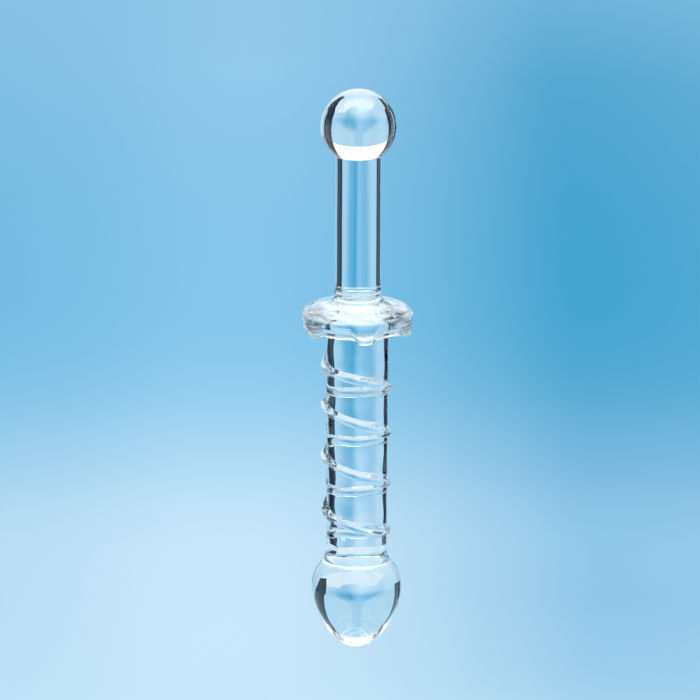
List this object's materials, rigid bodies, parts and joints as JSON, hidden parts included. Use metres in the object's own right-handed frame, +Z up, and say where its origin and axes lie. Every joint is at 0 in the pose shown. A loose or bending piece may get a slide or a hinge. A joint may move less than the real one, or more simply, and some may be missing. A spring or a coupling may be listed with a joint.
{
  "type": "glass massage wand",
  "caption": "Solid clear glass massage wand with a ball grip end, plain handle, scalloped guard, shaft wound with a raised spiral thread, and a rounded egg-shaped head.",
  "frame": {"origin": "the rounded tip of the egg-shaped head, on the wand's axis", "axes": "+Z runs up the wand's axis from the head to the ball knob; -Y is the front, where the longest lobe of the guard hangs"},
  "size_m": [0.0434, 0.044, 0.2222],
  "materials": {
    "clear_glass": "clear, colourless, fire-polished borosilicate glass, smooth all over"
  },
  "bodies": {
    "root": {"head_bulb": "clear_glass", "head_collar": "clear_glass", "shaft_rod": "clear_glass", "spiral_thread": "clear_glass", "guard": "clear_glass", "neck_collar": "clear_glass", "handle_rod": "clear_glass", "ball_knob": "clear_glass"}
  },
  "joints": []
}
